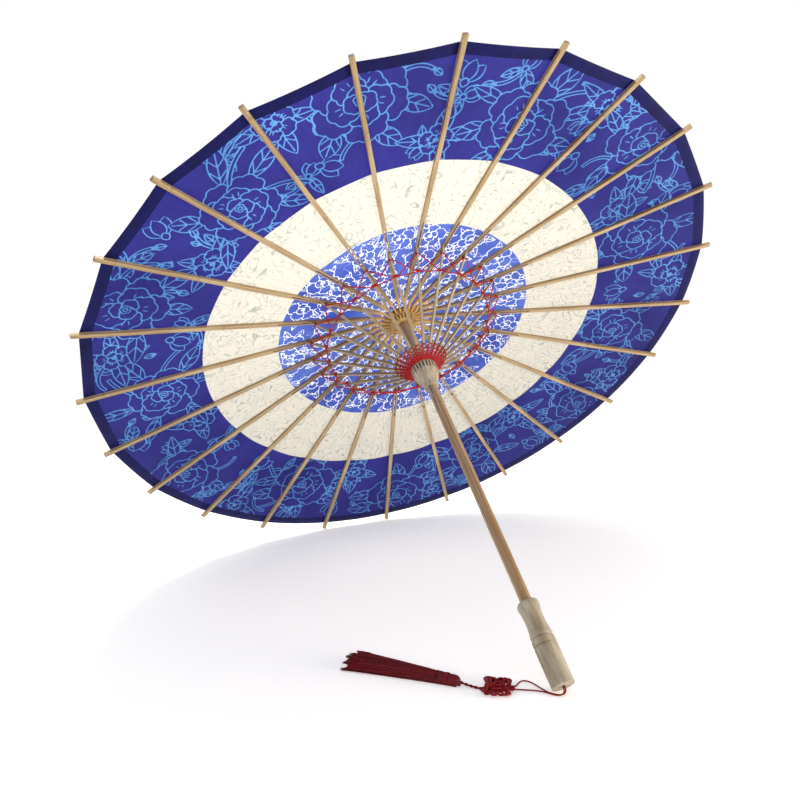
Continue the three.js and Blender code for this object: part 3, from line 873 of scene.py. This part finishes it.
def gore_point(k, share, radius, offset):
    """Point of gore k. share runs from -1 to 1 across it, with the rib at 0. At a radius measured along the
    ribs, a row is straight from rib to middle of the gap: radius cos(7.5) out, and radius sin(7.5)
    (1 - |share|) back from the middle. It hangs in by HANG radius / PAPER_RADIUS (1 - (1 - |share|)^2)."""
    way = np.where(share < 0, -1.0, 1.0)
    middle = (k + 0.5 + way / 2) * SECTOR
    out = radius * math.cos(SECTOR / 2)
    back = -way * radius * math.sin(SECTOR / 2) * (1 - np.abs(share))
    x = out * np.cos(middle) - back * np.sin(middle)
    y = out * np.sin(middle) + back * np.cos(middle)
    hang = HANG * radius / PAPER_RADIUS * (1 - (1 - np.abs(share)) ** 2)
    return x, y, cone_height(radius, offset) - hang


share_grid = np.linspace(-1, 1, COLUMNS + 1)[None]
radius_grid = np.concatenate([
    np.linspace(PAPER_HOLE, RING_INNER, INNER_ROWS, endpoint=False),
    np.linspace(RING_INNER, RING_OUTER, RING_ROWS, endpoint=False),
    np.linspace(RING_OUTER, PAPER_RADIUS, OUTER_ROWS + 1),
])[:, None]
gores = [np.broadcast_arrays(*gore_point(k, share_grid, radius_grid, PAPER_UNDER)) for k in range(ARMS)]
flat_x = np.concatenate([g[0].ravel() for g in gores])
flat_y = np.concatenate([g[1].ravel() for g in gores])
from_line = np.full(flat_x.shape, 30.0)


def draw(shape, at, turn, reach, solid=True):
    """Draws a shape into from_line, the distance of each paper point to the nearest drawn line. shape gives a
    signed distance at points in its own directions. A solid one hides what was drawn under it."""
    du, dv = flat_x - at[0], flat_y - at[1]
    near = np.flatnonzero((np.abs(du) < reach) & (np.abs(dv) < reach))
    c, s = math.cos(turn), math.sin(turn)
    d = shape(du[near] * c + dv[near] * s, dv[near] * c - du[near] * s)
    seen = np.minimum(from_line[near], np.abs(d))
    from_line[near] = np.where(d < 0, -d, seen) if solid else seen


def petal(length, breadth, lobes, depth):
    """A scalloped oval: distance is (p - (1 - depth + depth |cos(lobes a / 2)|)) times its mean radius, where
    p and a are the polar place in the oval. Divided by the outline's own slope."""

    def shape(u, v):
        across, angle = np.hypot(u / length, v / breadth), np.arctan2(v / breadth, u / length)
        outline = 1 - depth + depth * np.abs(np.cos(lobes * angle / 2))
        steep = np.maximum(np.abs(np.cos(lobes * angle / 2)), 0.25)
        slope = depth * lobes / 4 * np.sin(lobes * angle) / steep
        return (across - outline) * min(length, breadth) / np.sqrt(1 + (slope / np.maximum(across, 0.3)) ** 2)

    return shape


def leaf_blade(length, breadth):
    """A pointed leaf from 0 to its length: |v| less breadth sin(pi u / length)^0.8."""

    def shape(u, v):
        t = np.clip(u / length, 0, 1)
        side_distance = np.abs(v) - breadth * np.sin(np.pi * t) ** 0.8
        beyond = np.maximum(-u, u - length)
        return np.maximum(side_distance * 0.94, beyond)

    return shape


def leaf_veins(length, breadth, pairs):
    """The midrib and pairs of side veins that leave it at 40 degrees, inside the leaf's blade."""

    def shape(u, v):
        t = np.clip(u / length, 0, 1)
        inside = breadth * np.sin(np.pi * t) ** 0.8 - np.abs(v)
        veins = np.where((u > 0.04 * length) & (u < 0.93 * length), np.abs(v), 30)
        for n in range(pairs):
            start = length * (0.18 + 0.62 * n / pairs)
            off = np.abs((u - start) * 0.64 - np.abs(v) * 0.77)
            veins = np.where(inside > 1.2, np.minimum(veins, off), veins)
        return veins

    return shape


def strokes(count, spread, inner, outer):
    """Short lines fanning from a petal's foot, between two distances from it."""

    def shape(u, v):
        p, angle = np.hypot(u, v), np.arctan2(v, u)
        nearest = np.full(u.shape, 30.0)
        for n in range(count):
            turn_to = spread * ((n + 0.5) / count - 0.5) * 2
            off = p * np.abs(np.sin(angle - turn_to)) + np.where(np.abs(angle - turn_to) > 1, 30, 0)
            nearest = np.minimum(nearest, off)
        return nearest + np.maximum(inner - p, 0) + np.maximum(p - outer * (0.7 + 0.3 * np.cos(5 * angle)), 0)

    return shape


def stem(bend_radius, sweep, thick):
    """A band along an arc that starts at 0 and bends left: | |p| - bend radius | less its half thickness."""

    def shape(u, v):
        p, angle = np.hypot(u, v - bend_radius), np.arctan2(u, bend_radius - v)
        beyond = np.maximum(-angle, angle - sweep) * bend_radius
        return np.maximum(np.abs(p - bend_radius) - thick, beyond)

    return shape


def polar(radius, angle):
    """x and y of a point at a radius and an angle."""
    return radius * math.cos(angle), radius * math.sin(angle)


def flower(at, size, turn, rows, detail):
    """A peony: rows of scalloped petals, each row smaller and over the last, round a seed head."""
    for row, (count, distance, half) in enumerate(rows):
        for n in range(count):
            angle = turn + 2 * math.pi * (n + 0.5 * (row % 2)) / count + pattern.uniform(-0.12, 0.12)
            dx, dy = polar(size * distance, angle)
            half_size = size * half * pattern.uniform(0.9, 1.12)
            foot = (at[0] + dx, at[1] + dy)
            draw(petal(half_size, half_size * 1.12, 7 - row, 0.14), foot, angle, half_size * 1.4)
            if detail and row < 2:
                start = (at[0] + dx * 0.35, at[1] + dy * 0.35)
                draw(strokes(2, 0.42, size * 0.28, size * 0.46), start, angle, size * 0.6, solid=False)
    heart = size * 0.13
    draw(petal(heart, heart, 5, 0.2), at, turn, heart * 1.4)
    draw(petal(heart * 0.4, heart * 0.4, 3, 0.0), at, turn, heart)


def leaf(at, length, breadth, turn, pairs):
    """A pointed leaf with its veins."""
    draw(leaf_blade(length, breadth), at, turn, length * 1.05)
    draw(leaf_veins(length, breadth, pairs), at, turn, length * 1.05, solid=False)


def tendril(at, turn, bend_radius, sweep, way):
    """A thin curling stem of two lines that ends in a small leaf."""
    draw(stem(bend_radius, sweep, 1.9), at, turn if way > 0 else turn + sweep, bend_radius * 2.2)
    end = (bend_radius * math.sin(sweep), bend_radius * (1 - math.cos(sweep)))
    tip_x, tip_y = polar(math.hypot(*end), turn + math.atan2(end[1], end[0]))
    leaf((at[0] + tip_x, at[1] + tip_y), bend_radius * 0.5, bend_radius * 0.13, turn + sweep, 1)


def bud(at, size, turn):
    """Three narrow petals, side ones first, with a small cup at the foot."""
    for lean in (0.5, -0.5, 0):
        out_x, out_y = polar(size * 0.04, turn + lean)
        draw(leaf_blade(size * 1.5, size * 0.42), (at[0] + out_x, at[1] + out_y), turn + lean, size * 1.7)
    draw(petal(size * 0.3, size * 0.26, 4, 0.15), at, turn, size * 0.5)


def sprig(at, turn):
    """A thin stem with a pair of leaves and a bud."""
    tendril(at, turn, 30, 1.1, 1)
    for lean in (-0.9, 0.8):
        leaf(at, pattern.uniform(24, 34), pattern.uniform(5, 7.5), turn + lean, 2)
    bud(at, 12, turn + math.pi)


pattern = np.random.default_rng(8)
PEONY = [(6, 0.62, 0.4), (5, 0.36, 0.33), (3, 0.15, 0.2)]
SMALL_FLOWER = [(5, 0.56, 0.4), (3, 0.2, 0.25)]
CLUSTERS = 13
SPRIGS = 46  # drawn first, so that they fill what the flowers leave
for n in range(SPRIGS):
    angle = 2 * math.pi * (n + pattern.uniform(-0.2, 0.2)) / SPRIGS
    sprig(polar((298, 342, 386)[n % 3] + pattern.uniform(-8, 8), angle), pattern.uniform(0, 6.3))
for n in range(CLUSTERS):
    angle = 2 * math.pi * (n + pattern.uniform(-0.12, 0.12)) / CLUSTERS
    high = n % 2
    peony_at = polar(368 if high else 322, angle)
    beside = angle + math.pi / CLUSTERS
    small_radius = 300 if high else 378
    for way in (-1, 1):
        draw(stem(66, 1.25, 2.0), peony_at, angle + way * 1.4 + math.pi / 2 * (1 - way) / 2, 100)
        tendril_at = polar(345 + way * 40, angle + way * 0.1)
        tendril(tendril_at, angle + way * pattern.uniform(0.9, 2.2), pattern.uniform(24, 34), 1.5, way)
    for leaf_number in range(6):
        lean = angle + 2 * math.pi * leaf_number / 6 + pattern.uniform(-0.3, 0.3)
        x, y = polar(38, lean)
        length, breadth = pattern.uniform(36, 54), pattern.uniform(7.5, 12)
        leaf((peony_at[0] + x, peony_at[1] + y), length, breadth, lean + pattern.uniform(-0.6, 0.6), 2)
    small_at = polar(small_radius + pattern.uniform(-8, 8), beside)
    for leaf_number in range(4):
        lean = beside + 2 * math.pi * leaf_number / 4 + pattern.uniform(-0.4, 0.4)
        leaf(small_at, pattern.uniform(38, 56), pattern.uniform(7, 9), lean, 2)
    flower(small_at, pattern.uniform(21, 27), beside, SMALL_FLOWER, True)
    bud_at = polar(small_radius + (66 if high else -68), beside + 0.05)
    bud(bud_at, 17, beside + pattern.uniform(-1, 1) + (0 if high else math.pi))
    flower(peony_at, pattern.uniform(40, 52), angle, PEONY, True)
for ring_radius, count, size in ((152, 19, 21), (116, 15, 19), (82, 11, 18), (50, 7, 17), (22, 3, 15)):
    for n in range(count):
        angle = 2 * math.pi * (n + 0.5 * pattern.random()) / count
        at = polar(ring_radius + pattern.uniform(-5, 5), angle)
        for leaf_number in range(5):
            lean = angle + 2 * math.pi * leaf_number / 5 + pattern.uniform(-0.4, 0.4)
            leaf(at, size * pattern.uniform(1.3, 1.75), size * 0.24, lean, 3)
        flower(at, size * pattern.uniform(0.85, 1.1), angle, SMALL_FLOWER, False)

# Oiled mulberry paper: dyed blue with a pale ring, satin from the oil, with fine fibres along the ribs.
# A little over half of the light that falls on it goes through.
oiled_paper, tree, shader = material_of(
    "oiled_mulberry_paper", Roughness=0.5, IOR=1.48, Specular_IOR_Level=0.3)
print_at = add(tree, "Attribute", attribute_name="print_mm")
parts = add(tree, "SeparateXYZ", {"Vector": print_at.outputs["Vector"]})
radius_mm = parts.outputs["Y"]
line_mm = parts.outputs["Z"]
spot = add(tree, "TexCoord").outputs["Object"]


def step_at(value, edge, soft):
    """0 below the edge and 1 above it, over soft mm each way."""
    span = {"Value": value, "From Min": edge - soft, "From Max": edge + soft}
    return add(tree, "MapRange", span, interpolation_type="SMOOTHSTEP")


def scribble(scale, detail, thickness, bend, levels):
    """Thin curling lines: where a noise passes through evenly spaced levels."""
    noise = add(tree, "TexNoise", {"Vector": spot, "Scale": scale, "Detail": detail, "Distortion": bend})
    steps = add(tree, "Math", {0: noise, 1: levels}, operation="MULTIPLY")
    wrapped = add(tree, "Math", {0: steps, 1: 1.0}, operation="PINGPONG")
    line = {"Value": wrapped, "From Max": thickness, "To Min": 1.0, "To Max": 0.0}
    return add(tree, "MapRange", line)


mottle = add(tree, "TexNoise", {"Vector": spot, "Scale": 14.0, "Detail": 3.0})
streaks_in = add(tree, "Mapping", {"Vector": print_at.outputs["Vector"], "Scale": (0.9, 0.035, 0.0)})
streaks = add(tree, "TexNoise", {"Vector": streaks_in, "Scale": 1.0, "Detail": 5.0})
outer_dye = add(tree, "ValToRGB", {"Fac": mottle}, [(0.3, "212064"), (0.7, "2c2b7c")])
line_dye = add(tree, "ValToRGB", {"Fac": mottle}, [(0.35, "4476b0"), (0.65, "5a92c8")])
outer_line = step_at(line_mm, LINE_OUTER, 0.3)
outer = add(tree, "MixRGB", {"Fac": outer_line, "Color1": line_dye, "Color2": outer_dye})
inner_dye = add(tree, "ValToRGB", {"Fac": mottle}, [(0.3, "36489c"), (0.7, "566dbe")])
curl = scribble(46.0, 1.0, 0.05, 0.9, 6.0)
curls = add(tree, "MixRGB", {"Fac": curl, "Color1": inner_dye, "Color2": linear("b4c0ec")})
inner_line = step_at(line_mm, LINE_INNER, 0.22)
inner = add(tree, "MixRGB", {"Fac": inner_line, "Color1": linear("f0f3fc"), "Color2": curls})
faint = scribble(38.0, 1.5, 0.27, 1.2, 15.0)
worn = {"Value": mottle, "From Min": 0.4, "From Max": 0.62, "To Min": 0.5, "To Max": 0.85}
faint_share = add(tree, "Math", {0: faint, 1: add(tree, "MapRange", worn)}, operation="MULTIPLY")
pale = add(tree, "MixRGB", {"Fac": faint_share, "Color1": linear("cfcbbe"), "Color2": linear("83908a")})
ring_starts = step_at(radius_mm, RING_INNER, 0.35)
ring_ends = step_at(radius_mm, RING_OUTER, 0.35)
within = add(tree, "MixRGB", {"Fac": ring_starts, "Color1": inner, "Color2": pale})
whole = add(tree, "MixRGB", {"Fac": ring_ends, "Color1": within, "Color2": outer})
fibres = add(tree, "ValToRGB", {"Fac": streaks}, [(0.3, "dcdce4"), (0.7, "ffffff")])
printed = add(tree, "MixRGB", {"Fac": 0.8, "Color1": whole, "Color2": fibres}, blend_type="MULTIPLY")


def let_light_through(tree, shader, share, colour, relief):
    """Mixes the paper's own face with a layer that passes this share of the light, in its colour."""
    through = add(tree, "BsdfTranslucent", {"Color": colour, "Normal": relief})
    layered = add(tree, "MixShader", {"Fac": share, 1: shader, 2: through})
    tree.links.new(layered.outputs[0], tree.nodes["Material Output"].inputs["Surface"])


relief = finish(tree, shader, printed, streaks, 0.18, 0.0003)
let_light_through(tree, shader, 0.55, printed, relief)

# The hem is a strip of navy paper folded over the edge and glued, so that the edge doesn't tear.
HEM_WIDTH = 13.0
navy_paper, tree, shader = material_of("navy_hem_paper", Roughness=0.65, IOR=1.48, Specular_IOR_Level=0.2)
spot = add(tree, "TexCoord").outputs["Object"]
mottle = add(tree, "TexNoise", {"Vector": spot, "Scale": 60.0, "Detail": 4.0})
navy = add(tree, "ValToRGB", {"Fac": mottle}, [(0.3, "06063e"), (0.7, "0b0b58")])
relief = finish(tree, shader, navy, mottle, 0.2, 0.0003)
let_light_through(tree, shader, 0.08, navy, relief)

hem_loop = [
    (PAPER_RADIUS - HEM_WIDTH, -0.13),
    (PAPER_RADIUS - HEM_WIDTH / 2, -0.13),
    (PAPER_RADIUS, -0.13),
    (PAPER_RADIUS + 0.35, 0.05),
    (PAPER_RADIUS, 0.25),
    (PAPER_RADIUS - HEM_WIDTH / 2, 0.25),
    (PAPER_RADIUS - HEM_WIDTH, 0.25),
    (PAPER_RADIUS - HEM_WIDTH, 0.06),
]
corner = np.arange(ROWS)[:, None] * (COLUMNS + 1) + np.arange(COLUMNS)[None]
above = corner + COLUMNS + 1
gore_squares = np.stack([corner, above, above + 1, corner + 1], axis=-1).reshape(-1, 4)
no_fans = np.zeros((0, 3), int)
across_grid = share_grid * radius_grid * math.sin(SECTOR / 2)
hem_share = np.linspace(-1, 1, 33)
for k, (number, outward, sideways, _, _, _, hinge) in enumerate(arms):
    x, y, z = gores[k]
    points = place(x, y, z).reshape(-1, 3)
    gore = piece(
        f"paper_gore_{number}", [(points, gore_squares, no_fans)],
        oiled_paper, f"rib_{number}", closed=False)
    lines = from_line.reshape(ARMS, -1)[k]
    across = np.broadcast_to(across_grid, x.shape).ravel()
    print_mm = np.stack([across, np.hypot(x, y).ravel(), lines], axis=1)
    attribute = gore.data.attributes.new("print_mm", "FLOAT_VECTOR", "POINT")
    attribute.data.foreach_set("vector", print_mm.astype(np.float32).ravel())
    hem_rings = [place(*gore_point(k, hem_share, r, PAPER_UNDER + offset)) for r, offset in hem_loop]
    hem = piece(
        f"hem_strip_{number}", [skin(np.stack(hem_rings, axis=1))],
        navy_paper, f"rib_{number}", sharp=50)
    for cloth in (gore, hem):
        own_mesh(cloth)
    if k == 0:
        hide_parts("canopy")

# ---- Red lacing ----
# Dyed thread laced by hand between the stretchers: a zigzag ring at the rib hinges,
# and a net round the runner that spreads out along the stretchers, dense inside and open at its edge.
RING_THREAD = 0.75
NET_THREAD = 0.6
RING_FROM_HINGE = 29.0  # along the stretcher, from its hinge to the ring's inner points
NET_LEVELS = [3.6, 4.9, 6.2, 7.6, 9.2, 11.2, 13.8, 17.6, 23.4]
red_thread, tree, shader = material_of("dyed_lacing_thread", Roughness=0.55, IOR=1.5, Specular_IOR_Level=0.3)
spot = add(tree, "TexCoord")
fuzz = add(tree, "TexNoise", {"Vector": spot.outputs["Object"], "Scale": 1500.0, "Detail": 2.0})
shade = add(tree, "ValToRGB", {"Fac": fuzz}, [(0.3, "840811"), (0.7, "c00e1a")])
finish(tree, shader, shade)
STRETCHER_LENGTH = math.hypot(JOINT_RADIUS - RUNNER_PIVOT_RADIUS, JOINT_HEIGHT - RUNNER_PIVOT)


def on_arm(k, along, across, above):
    """A point by stretcher k: along it from the runner's pivot, across it and above its middle, in mm."""
    _, outward, sideways, _, along_it, runner_end, _ = arms[k % ARMS]
    normal = np.cross(along_it, sideways)
    normal = normal * np.sign(normal @ AXIS)
    return runner_end + (along * along_it + across * sideways + above * normal) / 1000


def half_thread(k, start, other, way, radius):
    """The half that lies nearest arm k of a straight thread from it to the next arm on one side."""
    here = on_arm(k, *start)
    there = on_arm(k + way, *other)
    path = np.linspace(here, (here + there) / 2, 3)
    return skin(tube(path * 1000, round_section(radius, 6), up=AXIS) / 1000)


def wrap(k, along, half_width, radius, half_depth=1.5):
    """One turn of thread round the stretcher: a circle clipped square to the bar's own section."""
    a = np.linspace(0, 2 * np.pi, 12, endpoint=False)
    across = (half_width + radius) * np.clip(1.35 * np.cos(a), -1, 1)
    above = (half_depth + radius) * np.clip(1.35 * np.sin(a), -1, 1)
    path = np.stack([on_arm(k, along, s, t) for s, t in zip(across, above)])
    return skin(tube(path * 1000, round_section(radius, 6), up=arms[k][4], closed=True) / 1000, closed=True)


tie_at = STRETCHER_LENGTH - 7.5
inner_at = STRETCHER_LENGTH - RING_FROM_HINGE
below_ring = -(1.5 + RING_THREAD)
below_net = -(1.5 + NET_THREAD)
for k, (number, _, sideways, _, _, runner_end, hinge) in enumerate(arms):
    ring_parts = [wrap(k, at, 1.6, RING_THREAD) for at in (tie_at, inner_at, inner_at + 1.5)]
    net_parts = [wrap(k, level, 0.85 if level < 20 else 1.3, NET_THREAD) for level in NET_LEVELS]
    for way in (-1, 1):
        edge = way * 1.6
        for near, far in ((inner_at, inner_at), (tie_at, inner_at), (inner_at, tie_at)):
            start, end = (near, edge, below_ring), (far, -edge, below_ring)
            ring_parts.append(half_thread(k, start, end, way, RING_THREAD))
        for near, far in zip(NET_LEVELS, NET_LEVELS[1:]):
            net_parts.append(half_thread(k, (near, way, below_net), (far, -way, below_net), way, NET_THREAD))
            net_parts.append(half_thread(k, (far, way, below_net), (near, -way, below_net), way, NET_THREAD))
    ring = piece(f"hinge_lacing_{number}", ring_parts, red_thread, f"stretcher_{number}")
    net = piece(f"runner_net_{number}", net_parts, red_thread, f"stretcher_{number}")
    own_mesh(ring)
    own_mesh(net)
